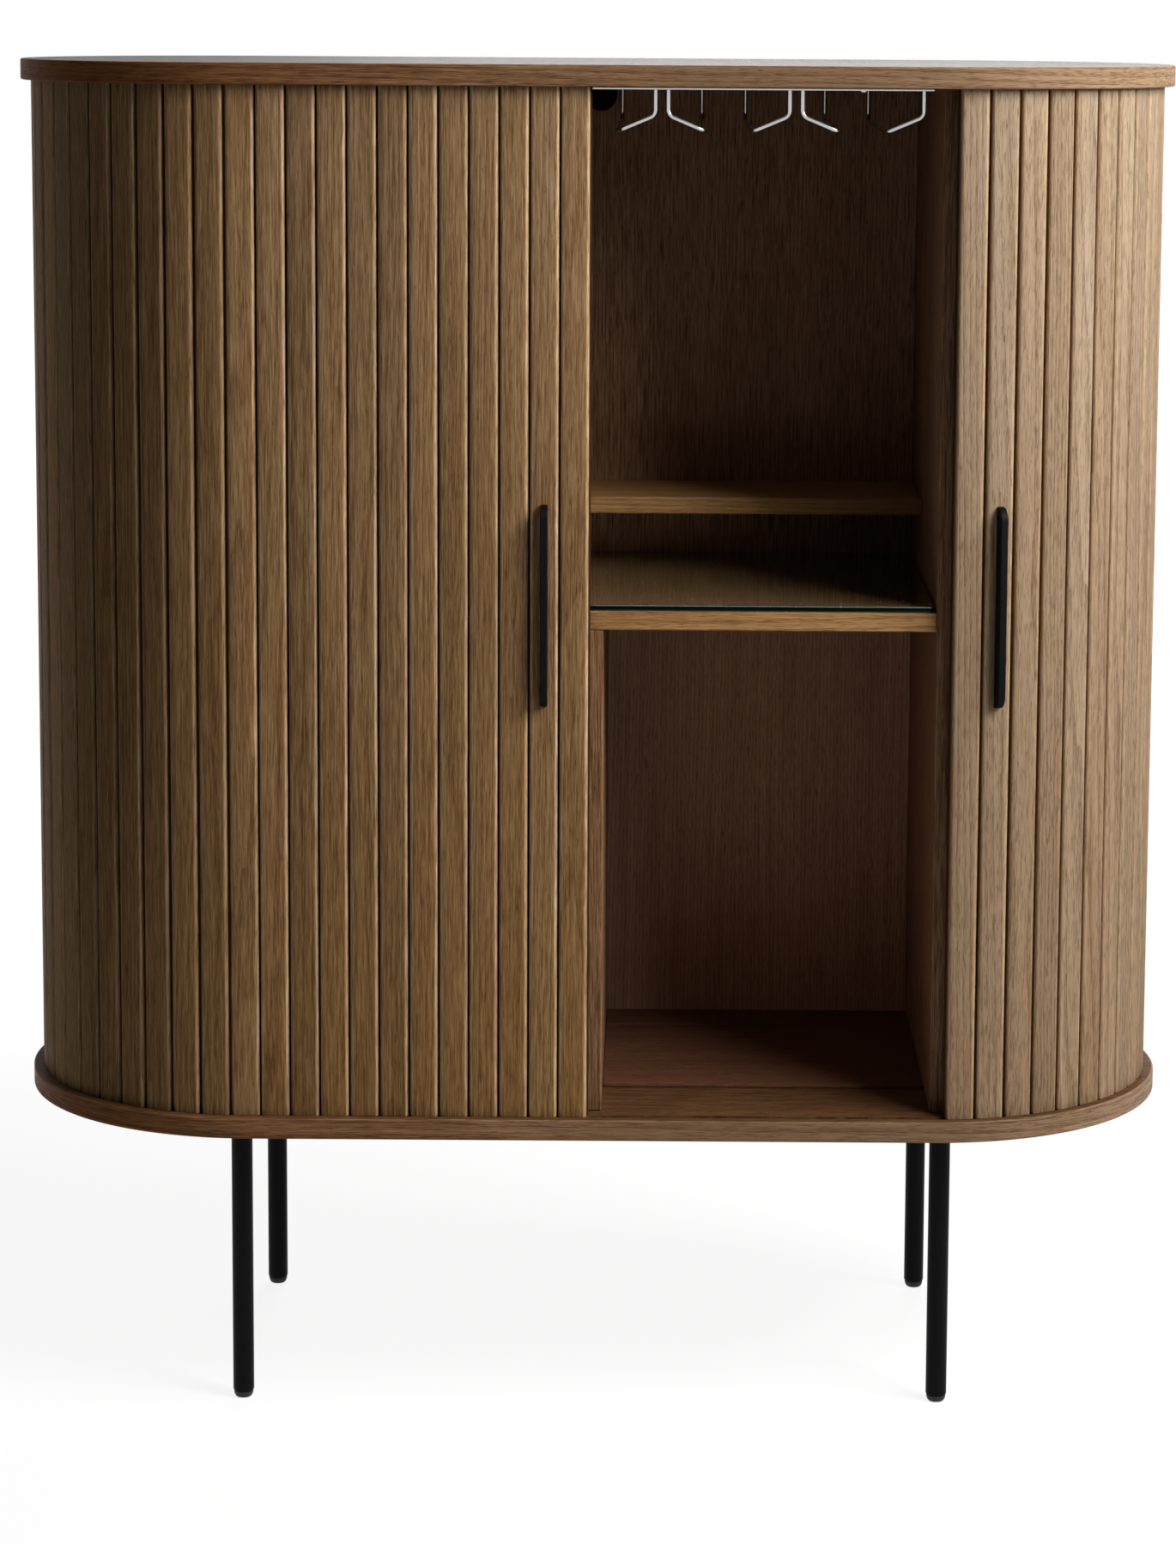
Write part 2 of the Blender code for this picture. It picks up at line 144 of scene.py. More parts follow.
# a new material with one Principled shader, its fixed values set on the sockets
def newFinish(name, fixed):
    made = bpy.data.materials.new(name)
    made.use_nodes = True
    for key, value in fixed.items():
        made.node_tree.nodes["Principled BSDF"].inputs[key].default_value = value
    return made, Wire(made.node_tree)


# links what varies over a surface to the material's shader
def feed(made, colour, rough, **others):
    shader = made.node_tree.nodes["Principled BSDF"]
    for key, link in {"Base Color": colour, "Roughness": rough, **others}.items():
        made.node_tree.links.new(link.socket, shader.inputs[key])
    return made


# the grain attribute of a sewn piece: metres along the grain, metres across it, and the strip's number
def grainOfPiece(start):
    return start.node("Attribute", {"attribute_name": "grain"}, output=1).parts()


def objectPlace(start):
    return start.node("TexCoord", output=3).parts()


# upright grain from Object coordinates, for the inner back: two veneers, the one above the niche board darker
# as painted shade
innerVeneer = {"number": 90.0, "upperShade": 0.6, "jointZ": sum(end.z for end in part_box("niche_board")) / 2}


def grainUpright(start):
    x, y, z = objectPlace(start)
    # painted shade: the veneer above the niche board is darker
    above = start.maths("GREATER_THAN", z, innerVeneer["jointZ"])
    return z, x + y, above * innerVeneer["upperShade"] + innerVeneer["number"]


# Oak veneer. Each strip is a slice through its own log: the ring radius is the root of across squared plus
# depth squared, drifting along the grain, and its fraction is one year's ring. Stretched noise adds streaks,
# fibre, pores and blotches. The strip number's fraction is its stain and painted shade, which deepens the
# fibre.
# Rounded edges are painted paler as a painted highlight, and the colour is tinted darker and redder where
# that share is below nothing.
figure = {
    "lotStep": 1.37, "drift": 0.014, "logOffset": 0.15, "logDepth": 0.085, "leastDepth": 0.008, "lean": 0.035,
    "ringWidth": 0.0034, "ringWaver": 1.6, "earlyPower": 2.5, "poreFrom": 0.60, "poreEarly": 0.10,
    "poreRate": 9.0, "middleTone": 0.53, "streakShare": 0.55, "fibreShare": 0.45, "blotchShare": 0.40,
    "ringShare": 0.18, "poreShare": 0.50, "toneSpread": 0.17, "warmSpread": 0.38, "soakFrom": 0.40,
    "soakRate": 7.0, "soakFibre": 4.2, "soakSpread": 0.30,
    "rubbed": (1.40, 1.30, 1.12, 1.0), "sideTint": (0.80, 0.60, 0.42, 1.0),
    "fibreRise": 0.6, "poreDip": 0.8, "earlyDip": 0.3, "bump": {"Strength": 0.9, "Distance": 0.0007},
    "fibreRough": 0.3, "poreRough": 0.12,
}
# each noise: its waves per metre along and across and per strip, its detail and its roughness
oakNoise = {
    "drift": ((1.5, 8.0, 5.7), 1.0, 0.5), "waver": ((3.0, 45.0, 2.3), 2.0, 0.5),
    "streak": ((4.0, 150.0, 4.7), 3.0, 0.6), "fibre": ((28.0, 800.0, 3.1), 3.0, 0.62),
    "pore": ((75.0, 2000.0, 6.1), 1.0, 0.5), "blotch": ((2.2, 14.0, 8.9), 2.0, 0.5),
}
rampStops = (0.05, 0.35, 0.62, 0.95)
# painted sheen: an upper face's colour turns pale grey where it is seen from nearly level with it
paintedSheen = {"colour": (0.22, 0.205, 0.185, 1.0), "blend": 0.5, "from": 0.86, "rate": 9.0,
        "upFrom": 0.5, "upRate": 2.0}


def oak(name, tones, coordinates, roughness, specular, sheenPainted):
    made, start = newFinish(name, {"Specular IOR Level": specular})
    along, across, strip = coordinates(start)
    number = start.maths("FLOOR", strip)
    lotPlace = {"W": number * figure["lotStep"]}
    lotA, lotB, lotC = start.node("TexWhiteNoise", {"noise_dimensions": "1D"}, lotPlace, output=1).parts()

    def stretched(kind, sideways):
        return start.noise((along, sideways, number), *oakNoise[kind])

    bent = across + (stretched("drift", across) - 0.5) * figure["drift"]
    side = bent + (lotA - 0.5) * figure["logOffset"]
    depth = lotB * figure["logDepth"] + figure["leastDepth"]
    radius = (side * side + depth * depth) ** 0.5 + along * (lotC - 0.5) * figure["lean"]
    waver = stretched("waver", across) * figure["ringWaver"]
    ring = start.maths("FRACT", radius / figure["ringWidth"] + waver)
    early = (1.0 - ring) ** figure["earlyPower"]
    shifted = bent + lotA
    streak = stretched("streak", shifted)
    fibre = stretched("fibre", shifted)
    blotch = stretched("blotch", shifted)
    pore = stretched("pore", shifted) - figure["poreFrom"] + early * figure["poreEarly"]
    pore = (pore * figure["poreRate"]).clamped()
    stainAndShade = strip - number
    soaked = ((stainAndShade - figure["soakFrom"]) * figure["soakRate"]).clamped()
    fibreShare = (soaked * figure["soakFibre"] + 1.0) * figure["fibreShare"]
    tone = figure["middleTone"] + (streak - 0.5) * figure["streakShare"] + (fibre - 0.5) * fibreShare
    tone = tone + (blotch - 0.5) * figure["blotchShare"] - early * figure["ringShare"]
    ramp = start.node("ValToRGB", {"stops": list(zip(rampStops, tones["ramp"]))}, {0: tone.clamped()})
    light = (lotB - 0.5) * (soaked * figure["soakSpread"] + figure["toneSpread"]) + 1.0
    lit = ramp.tinted(start.joined(light, light, light))
    warmed = start.mix(lotC * figure["warmSpread"], lit, lit.tinted(tones["warm"]))
    # stain and painted shade: the strip's fraction darkens the colour towards the stain tint
    stainedAndShaded = start.mix(stainAndShade, warmed, warmed.tinted(tones["stainAndShade"]))
    # painted highlight: rounded slat edges paler, and the slat sides tinted darker and redder
    rubbed = start.node("Attribute", {"attribute_name": "rubbed"}, output=2)
    stainedAndShaded = start.mix(rubbed.clamped(), stainedAndShaded, warmed.tinted(figure["rubbed"]))
    stainedAndShaded = start.mix((rubbed * -1.0).clamped(), stainedAndShaded, stainedAndShaded.tinted(figure["sideTint"]))
    colour = start.mix(pore * figure["poreShare"], stainedAndShaded, stainedAndShaded.tinted(tones["pore"]))
    # painted sheen: pale grey on upward faces seen from nearly level
    if sheenPainted:
        facing = start.node("NewGeometry", output=1).parts()[2]
        upward = ((facing - paintedSheen["upFrom"]) * paintedSheen["upRate"]).clamped()
        level = start.node("LayerWeight", None, {"Blend": paintedSheen["blend"]}, output=1)
        colour = start.mix(((level - paintedSheen["from"]) * paintedSheen["rate"]).clamped() * upward, colour, paintedSheen["colour"])
    height = fibre * figure["fibreRise"] - pore * figure["poreDip"] - early * figure["earlyDip"]
    rough = (fibre - 0.5) * figure["fibreRough"] + pore * figure["poreRough"] + roughness
    return feed(made, colour, rough, Normal=start.bump(height, figure["bump"]))


# per oak: the grain's colours from dark to light, and the tints of warm strips, pores and stain
slatTones = {
    "ramp": [(0.200, 0.131, 0.081), (0.284, 0.205, 0.138), (0.360, 0.275, 0.193), (0.450, 0.367, 0.282)],
    "warm": (1.06, 0.94, 0.80, 1.0), "pore": (0.60, 0.48, 0.38, 1.0), "stainAndShade": (0.63, 0.44, 0.21, 1.0),
}
boardTones = {
    "ramp": [(0.145, 0.083, 0.046), (0.224, 0.142, 0.085), (0.307, 0.207, 0.128), (0.408, 0.294, 0.199)],
    "warm": (1.06, 0.94, 0.80, 1.0), "pore": (0.58, 0.44, 0.34, 1.0), "stainAndShade": (0.45, 0.22, 0.04, 1.0),
}
innerTones = {
    "ramp": [(0.230, 0.118, 0.070), (0.398, 0.220, 0.135), (0.535, 0.315, 0.201), (0.690, 0.435, 0.296)],
    "warm": (1.08, 0.93, 0.80, 1.0), "pore": (0.50, 0.42, 0.35, 1.0), "stainAndShade": (0.32, 0.285, 0.19, 1.0),
}
shelfTones = {
    "ramp": [(0.220, 0.103, 0.037), (0.387, 0.203, 0.080), (0.520, 0.289, 0.120), (0.667, 0.407, 0.189)],
    "warm": (1.06, 0.93, 0.78, 1.0), "pore": (0.50, 0.42, 0.35, 1.0), "stainAndShade": (0.50, 0.50, 0.50, 1.0),
}
floorTones = {
    "ramp": [(0.090, 0.037, 0.021), (0.145, 0.066, 0.037), (0.190, 0.093, 0.055), (0.245, 0.134, 0.086)],
    "warm": (1.08, 0.93, 0.80, 1.0), "pore": (0.52, 0.42, 0.35, 1.0), "stainAndShade": (0.70, 0.60, 0.50, 1.0),
}

# powder coat: black, with the fine orange-peel bump and uneven gloss of baked powder
powder = {
    "specular": 0.07, "peel": ([900.0] * 3, 2.0, 0.6), "cloud": ([22.0] * 3, 3.0, 0.5),
    "grey": 0.0012, "cloudGrey": 0.0012, "peelGrey": 0.0010, "blue": 1.06,
    "rough": 0.40, "cloudRough": 0.2, "peelRough": 0.15, "bump": {"Strength": 0.3, "Distance": 0.0002},
}


def powderCoat(name):
    made, start = newFinish(name, {"Specular IOR Level": powder["specular"]})
    place = objectPlace(start)
    peel = start.noise(place, *powder["peel"])
    cloud = start.noise(place, *powder["cloud"])
    grey = powder["grey"] + cloud * powder["cloudGrey"] + peel * powder["peelGrey"]
    colour = start.joined(grey, grey, grey * powder["blue"])
    rough = powder["rough"] + cloud * powder["cloudRough"] + (peel - 0.5) * powder["peelRough"]
    return feed(made, colour, rough, Normal=start.bump(peel, powder["bump"]))


# bright chrome over drawn steel: fine lines along the wire and a few dull patches
plating = {
    "drawn": ((6.0, 2600.0, 3.0), 2.0, 0.5), "dull": ((60.0, 90.0, 7.0), 3.0, 0.5),
    "shade": 0.44, "drawnShade": 0.14, "dullShade": 0.06, "blue": 1.02,
    "rough": 0.08, "dullRough": 0.16, "drawnRough": 0.06, "bump": {"Strength": 0.15, "Distance": 0.0001},
}


def chrome(name):
    made, start = newFinish(name, {"Metallic": 1.0})
    place = grainOfPiece(start)
    drawn = start.noise(place, *plating["drawn"])
    dull = start.noise(place, *plating["dull"])
    shade = plating["shade"] + drawn * plating["drawnShade"] - dull * plating["dullShade"]
    colour = start.joined(shade, shade, shade * plating["blue"])
    rough = plating["rough"] + dull * plating["dullRough"] + drawn * plating["drawnRough"]
    return feed(made, colour, rough, Normal=start.bump(drawn, plating["bump"]))


# clear float glass: nearly colourless through its faces and dark green at its edges, with dust and wipe marks
glass = {
    "ior": 1.5, "faceSpan": 1.3, "face": (0.93, 0.97, 0.95, 1.0), "edge": (0.001, 0.005, 0.004, 1.0),
    "wipe": ((9.0, 40.0, 9.0), 3.0, 0.5), "dust": ([260.0] * 3, 1.0, 0.5), "speckFrom": 0.70,
    "speckRate": 12.0, "rough": 0.01, "wipeRough": 0.03, "speckRough": 0.3, "edgeRough": 0.3,
    "lampShare": 0.88,
}


def floatGlass(name):
    made, start = newFinish(name, {"Transmission Weight": 1.0, "IOR": glass["ior"]})
    place = objectPlace(start)
    facing = start.node("NewGeometry", output=1).parts()[2]
    edge = (1.0 - facing * facing * glass["faceSpan"]).clamped()
    wipe = start.noise(place, *glass["wipe"])
    dust = start.noise(place, *glass["dust"])
    speck = ((dust - glass["speckFrom"]) * glass["speckRate"]).clamped()
    rough = glass["rough"] + wipe * glass["wipeRough"] + speck * glass["speckRough"]
    rough = rough + edge * glass["edgeRough"]
    shadowed = start.node("LightPath").other("Is Shadow Ray")  # lamps shine through the plate
    colour = start.mix(edge, glass["face"], glass["edge"])
    return feed(made, colour, rough, Metallic=edge, Alpha=1.0 - shadowed * glass["lampShare"])


# moulded black plastic with a fine grained skin
plastic = {
    "specular": 0.3, "skin": ([1500.0] * 3, 1.0, 0.5), "grey": 0.010, "skinGrey": 0.008,
    "rough": 0.5, "skinRough": 0.15, "bump": {"Strength": 0.25, "Distance": 0.0002},
}


def mouldedPlastic(name):
    made, start = newFinish(name, {"Specular IOR Level": plastic["specular"]})
    skin = start.noise(objectPlace(start), *plastic["skin"])
    grey = plastic["grey"] + skin * plastic["skinGrey"]
    colour = start.joined(grey, grey, grey)
    rough = plastic["rough"] + skin * plastic["skinRough"]
    return feed(made, colour, rough, Normal=start.bump(skin, plastic["bump"]))


# dark canvas: plain weave, the sine of along times the sine of across, over and under in turn
cloth = {
    "specular": 0.1, "thread": 0.0016, "slub": ((30.0, 700.0, 1.0), 2.0, 0.5), "grey": 0.020,
    "weaveGrey": 0.014, "slubGrey": 0.014, "tint": (1.9, 0.9, 0.40), "rough": 0.8, "slubRough": 0.15,
    "bump": {"Strength": 0.6, "Distance": 0.0003},
}


def canvas(name):
    made, start = newFinish(name, {"Specular IOR Level": cloth["specular"]})
    along, across, strip = grainOfPiece(start)
    threads = 2 * math.pi / cloth["thread"]
    weave = start.maths("SINE", along * threads) * start.maths("SINE", across * threads) * 0.5 + 0.5
    slub = start.noise((along, across, strip), *cloth["slub"])
    grey = cloth["grey"] + weave * cloth["weaveGrey"] + slub * cloth["slubGrey"]
    colour = start.joined(*(grey * tint for tint in cloth["tint"]))
    rough = cloth["rough"] + slub * cloth["slubRough"]
    return feed(made, colour, rough, Normal=start.bump(weave, cloth["bump"]))


# tones, source of the grain, roughness, specular level, and whether it has the painted sheen
oaks = {
    "slatOak": (slatTones, grainOfPiece, 0.5, 0.025, False),
    "boardOak": (boardTones, grainOfPiece, 0.48, 0.04, False),
    "topOak": (boardTones, grainOfPiece, 0.55, 0.04, True),
    "innerOak": (innerTones, grainOfPiece, 0.55, 0.03, False),
    "shelfOak": (shelfTones, grainOfPiece, 0.55, 0.03, False),
    "floorOak": (floorTones, grainOfPiece, 0.50, 0.03, False),
    "uprightOak": (innerTones, grainUpright, 0.55, 0.03, False),
}
others = {"blackSteel": powderCoat, "chromeWire": chrome, "clearGlass": floatGlass,
          "blackPlastic": mouldedPlastic, "darkCanvas": canvas}
finishes = {name: oak(name, *given) for name, given in oaks.items()}
finishes.update({name: make(name) for name, make in others.items()})
print("finishes made:", len(finishes))


# A sheet is a grid of points with the grain values of each point, and its share of painted edge highlight,
# below nothing a darker side tint.
def sheet(points, along, across, strip=0.0, rubbed=0.0):
    shape = points.shape[:2]
    grain = np.stack([np.broadcast_to(value, shape) for value in (along, across, strip, rubbed)], -1)
    return points, grain


# the four corner numbers of each cell in a grid of numbered points
def gridCells(number):
    corners = [number[:-1, :-1], number[1:, :-1], number[1:, 1:], number[:-1, 1:]]
    return np.stack(corners, -1).reshape(-1, 4)


# Sews sheets into one closed skin: every grid cell is a face, points at one place become one vertex,
# and a cell with a collapsed edge becomes a triangle.
sewing = {"weld": 2e-6, "sharp": 38.0}


def sew(name, sheets, finish, body, replaced=()):
    points = np.concatenate([p.reshape(-1, 3) for p, _ in sheets])
    grain = np.concatenate([g.reshape(-1, 4) for _, g in sheets])
    cells = []
    start = 0
    for p, _ in sheets:
        number = start + np.arange(p.shape[0] * p.shape[1]).reshape(p.shape[:2])
        cells.append(gridCells(number))
        start += number.size
    cells = np.concatenate(cells)
    keys = np.round(points / sewing["weld"]).astype(np.int64)
    _, first, shared = np.unique(keys, axis=0, return_index=True, return_inverse=True)
    welded = shared.reshape(-1)[cells]
    kept = welded != np.roll(welded, -1, axis=1)
    whole = (kept.sum(1) > 2) & (welded[:, 0] != welded[:, 2]) & (welded[:, 1] != welded[:, 3])
    cells, welded, kept = cells[whole], welded[whole], kept[whole]
    starts = np.concatenate([[0], np.cumsum(kept.sum(1))[:-1]])
    mesh = bpy.data.meshes.new(name)
    mesh.vertices.add(len(first))
    mesh.vertices.foreach_set("co", points[first].astype(np.float32).ravel())
    mesh.loops.add(int(kept.sum()))
    mesh.loops.foreach_set("vertex_index", welded[kept].astype(np.int32))
    mesh.polygons.add(len(starts))
    mesh.polygons.foreach_set("loop_start", starts.astype(np.int32))
    mesh.update(calc_edges=True)
    atCorners = grain[cells[kept]].astype(np.float32)
    grainValues = mesh.attributes.new("grain", "FLOAT_VECTOR", "CORNER").data
    grainValues.foreach_set("vector", atCorners[:, :3].ravel())
    highlightValues = mesh.attributes.new("rubbed", "FLOAT", "CORNER").data
    highlightValues.foreach_set("value", atCorners[:, 3].copy())
    return dress(name, mesh, finish, body, replaced)


# Turns the faces outwards, shades them, and puts the piece on its body.
def dress(name, mesh, finish, body, replaced):
    skin = bmesh.new()
    skin.from_mesh(mesh)
    bmesh.ops.recalc_face_normals(skin, faces=skin.faces)
    skin.to_mesh(mesh)
    skin.free()
    mesh.shade_smooth()
    mesh.set_sharp_from_angle(angle=math.radians(sewing["sharp"]))
    mesh.materials.append(finishes[finish])
    piece = bpy.data.objects.new(name, mesh)
    bpy.context.scene.collection.objects.link(piece)
    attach(piece, body)
    if replaced:
        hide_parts(*replaced)
    return piece


# length run along a row of points, from its start
def runLength(points):
    return np.concatenate([[0.0], np.cumsum(np.linalg.norm(np.diff(points, axis=0), axis=1))])


# rows of a profile, with a point a little way in from both ends of each long straight run, so that a flat
# face beside a rounded edge keeps its own normals
holding = {"inset": 0.0005, "shortest": 0.003}


def held(rows):
    rows = np.asarray(rows, float)
    step = np.diff(rows, axis=0)
    length = np.linalg.norm(step, axis=1)
    pairs = np.flatnonzero(length > holding["shortest"])
    inward = step[pairs] * (holding["inset"] / length[pairs])[:, None]
    extra = np.stack([rows[pairs] + inward, rows[pairs + 1] - inward], 1).reshape(-1, rows.shape[1])
    return np.insert(rows, np.repeat(pairs + 1, 2), extra, axis=0)


# quarter arc as (1 - cosine, sine) of a turn from nothing to a right angle
def quarter(steps):
    turn = np.linspace(0.0, math.pi / 2, steps + 1)
    return 1 - np.cos(turn), np.sin(turn)


# Plan places on the doors' track: straight along the front, then round the end about its centre
def endPlace(side, radius, angle):
    spot = np.array([side * (halfRun + radius * math.sin(angle)), middleY - radius * math.cos(angle)])
    return spot, side * angle


def trackPlace(side, run):
    if run <= halfRun:
        return np.array([side * run, middleY - trackRadius]), 0.0
    return endPlace(side, trackRadius, (run - halfRun) / trackRadius)


# plan points of a profile of (across, outward) pairs at a spot, turned about the upright
def inPlan(profile, spot, turn):
    across = np.array([math.cos(turn), math.sin(turn)])
    outward = np.array([math.sin(turn), -math.cos(turn)])
    return spot + profile[:, :1] * across + profile[:, 1:] * outward


# a row of plan points repeated at each height
def upright(plan, heights):
    tall = np.asarray(heights, float)
    points = np.empty((len(plan), len(tall), 3))
    points[:, :, :2] = plan[:, None, :]
    points[:, :, 2] = tall
    return points


# a cap at one height between two rows of plan points
def capPoints(outer, inner, height):
    return np.stack([upright(row, (height,))[:, 0] for row in (outer, inner)], 1)


# Slats
slat = {"edge": 0.0032, "crown": 0.00015, "edgeSteps": 7, "faceSteps": 6, "sideFrom": 0.999}
lining = {"thickness": 0.0005, "clearance": 0.0002, "overlap": 0.0008, "seed": 200, "steps": 60}


# front of a slat from its left foot over the face to its right foot: sides, quarter arcs and a low parabola
def slatFront(width, thickness, edge, leftFoot=0.0, rightFoot=0.0):
    half = width / 2
    fall, rise = quarter(slat["edgeSteps"])
    arc = np.stack([-half + edge * fall, thickness - edge + edge * rise], 1)
    spread = np.linspace(-1.0, 1.0, slat["faceSteps"] + 1)[1:-1]
    face = np.stack([spread * (half - edge), thickness + slat["crown"] * (1 - spread ** 2)], 1)
    mirrored = arc[::-1] * np.array([-1.0, 1.0])
    return held(np.vstack([[(-half, leftFoot)], arc, face, mirrored, [(half, rightFoot)]]))


# painted highlight on a slat's profile: a share of the sine of twice the turn of its quarter arc, nothing on
# the face, and less than nothing on the sides, where the colour is tinted darker
def highlightShare(profile, thickness, edge, share):
    fall = np.clip((thickness - profile[:, 1:]) / edge, 0.0, 1.0)
    return np.where(fall < slat["sideFrom"], share * np.sin(2 * np.arccos(1 - fall)), -1.0)


# an upright bar: a closed profile carried from low to high, with an end cap drawn in to its middle; its stain
# and painted shade are given for the foot and the head
def uprightBar(profile, spot, turn, low, high, strip, stainAndShade=(0.0, 0.0), share=0.0):
    closed = np.vstack([profile, profile[:1]])
    ring = inPlan(closed, spot, turn)
    across = runLength(ring)[:, None]
    sides = upright(ring, (low, high))
    rubbed = highlightShare(closed, slatThickness, slat["edge"], share)
    sheets = [sheet(sides, sides[:, :, 2], across, strip + np.array([stainAndShade]), rubbed)]
    middle = np.broadcast_to(ring[:-1].mean(0), ring.shape)
    for height, depth in zip((low, high), stainAndShade):
        sheets.append(sheet(capPoints(ring, middle, height), height, across, strip + depth))
    return sheets


# a wall between two rows of plan points: its front and back, a cap at the foot and the head, and both ends
def wallSheets(front, back, low, high, across, strip, stainAndShade=(0.0, 0.0), rubbed=0.0):
    stainedAndShaded = strip + np.array([stainAndShade])
    sheets = []
    for plan, share in ((front, rubbed), (back, 0.0)):
        wall = upright(plan, (low, high))
        sheets.append(sheet(wall, wall[:, :, 2], across, stainedAndShaded, share))
    for height, depth in zip((low, high), stainAndShade):
        sheets.append(sheet(capPoints(front, back, height), height, across, strip + depth))
    for end in (0, -1):
        edgeWall = upright(np.stack([front[end], back[end]]), (low, high))
        sheets.append(sheet(edgeWall, edgeWall[:, :, 2], 0.0, stainedAndShaded[end]))
    return sheets


# Slats on one backing round an end: the fronts in a row, and behind each front point the nearest of the back
def flutedWall(side, angles, radius, width, thickness, edge, backing, low, high, firstStrip, stainAndShade, share):
    order = list(enumerate(angles))[:: side]
    last = len(order) - 1
    fronts, lengths, strips, shares = [], [], [], []
    for place, (number, angle) in enumerate(order):
        feet = (backing if place > 0 else 0.0, backing if place < last else 0.0)
        profile = slatFront(width, thickness, edge, *feet)
        fronts.append(inPlan(profile, *endPlace(side, radius, angle)))
        lengths.append(runLength(profile))
        strips.append(np.full(len(profile), firstStrip + number))
        shares.append(highlightShare(profile, thickness, edge, share))
    front = np.concatenate(fronts)
    across = np.concatenate(lengths)[:, None]
    strip = np.concatenate(strips)[:, None]
    centre = np.array([side * halfRun, middleY])
    reach = np.linalg.norm(front - centre, axis=1, keepdims=True)
    back = centre + (front - centre) * (radius / reach)
    return wallSheets(front, back, low, high, across, strip, stainAndShade, np.concatenate(shares))


# canvas behind the slats of one wing: a thin band between two radii
def curvedLining(side, angles, radius, low, high):
    halfTurn = slatPitch / radius / 2
    turns = np.linspace(angles[0] - halfTurn, angles[-1] + halfTurn, lining["steps"])
    heading = np.stack([side * np.sin(turns), -np.cos(turns)], 1)
    centre = np.array([side * halfRun, middleY])
    outer = centre + heading * (radius - lining["clearance"])
    inner = centre + heading * (radius - lining["clearance"] - lining["thickness"])
    strip = np.full((len(turns), 1), lining["seed"])
    return wallSheets(outer, inner, low, high, (turns * radius)[:, None], strip)


wing = {"backing": 0.002, "slats": 14}
# per door: how far it is drawn, and the strip numbers, stain and painted shade (foot, head) and painted
# highlight share of slats and wing; the left door is darker than the right, and both darker at the foot, as
# painted shade
doors = {
    "left": {"side": -1, "drawn": 0.0, "strip": 886, "stainAndShade": (0.94, 0.72), "rubbed": 0.8,
             "wingStrip": 502, "wingShade": (0.88, 0.82), "wingHighlight": 0.5},
    "right": {"side": 1, "drawn": doorTravel, "strip": 380, "stainAndShade": (0.44, 0.08), "rubbed": 0.6,
              "wingStrip": 392, "wingShade": (0.44, 0.08), "wingHighlight": 0.5},
}


# a door's slats and wing, with canvas behind them; strips that overlap lie one behind the other
def door(word):
    wanted = doors[word]
    side, drawn = wanted["side"], wanted["drawn"]
    low, high = slatLow.z, slatHigh.z
    half = slatPitch / 2 + lining["overlap"]
    profile = slatFront(slatWidth, slatThickness, slat["edge"])
    for number in range(1, crossingSlats + 1):
        node = f"{word}_slat_{number}"
        spot, turn = trackPlace(side, firstRun + (number - 1) * slatPitch + drawn)
        strip = wanted["strip"] + number
        bar = uprightBar(profile, spot, turn, low, high, strip, wanted["stainAndShade"], wanted["rubbed"])
        oakBar = sew(node + "_oak", bar, "slatOak", node, [node])
        near = -lining["clearance"] - (number % 2) * (lining["thickness"] + lining["clearance"])
        far = near - lining["thickness"]
        cut = np.array([(-half, near), (half, near), (half, far), (-half, far)])
        band = uprightBar(cut, spot, turn, low, high, lining["seed"])
        backing = sew(node + "_canvas", band, "darkCanvas", node)
    runs = firstRun + (crossingSlats + np.arange(wing["slats"])) * slatPitch + drawn
    angles = (runs - halfRun) / trackRadius
    node = f"{word}_wing"
    wall = flutedWall(side, angles, trackRadius, slatWidth, slatThickness, slat["edge"], wing["backing"],
                      low, high, wanted["wingStrip"], wanted["wingShade"], wanted["wingHighlight"])
    oakWall = sew(node + "_oak", wall, "slatOak", node, [node])
    band = curvedLining(side, angles, trackRadius, low, high)
    backing = sew(node + "_canvas", band, "darkCanvas", node)
    print(word, "door:", crossingSlats + wing["slats"], "slats")


for word in doors:
    door(word)

# Fixed fluted quarters behind the round ends
rearQuarter = {"start": 97.0, "flutes": 12, "space": 0.0022, "edge": 0.0015, "thickness": 0.005,
               "backing": 0.0025, "strip": {"left": 80, "right": 100}, "stainAndShade": (0.3, 0.2), "rubbed": 0.5}


def rearQuarters():
    low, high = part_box("left_rear_quarter")
    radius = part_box("back_panel")[0].y - middleY
    start = math.radians(rearQuarter["start"])
    step = (math.pi - start) / rearQuarter["flutes"]
    angles = start + (np.arange(rearQuarter["flutes"]) + 0.5) * step
    width = radius * step - rearQuarter["space"]
    for word in doors:
        node = f"{word}_rear_quarter"
        wall = flutedWall(doors[word]["side"], angles, radius, width, rearQuarter["thickness"],
                          rearQuarter["edge"], rearQuarter["backing"], low.z, high.z,
                          rearQuarter["strip"][word], rearQuarter["stainAndShade"], rearQuarter["rubbed"])
        sew(node + "_oak", wall, "slatOak", "carcass", [node])
    print("rear quarters:", len(doors))


rearQuarters()

# Stadium boards
board = {"edge": 0.0016, "edgeSteps": 4, "arcSteps": 72, "trackWidth": 0.007, "trackDepth": 0.005}
# strip number, stain of the faces, stain and painted shade of the edge band (left, right): the band is darker
# at the left as painted shade
stadiumBoards = {
    "top_board": {"finish": "topOak", "grooveUp": False, "strip": 120, "face": 0.33, "band": (0.98, 0.0)},
    "bottom_board": {"finish": "boardOak", "grooveUp": True, "strip": 124, "face": 0.7, "band": (0.92, 0.02)},
}


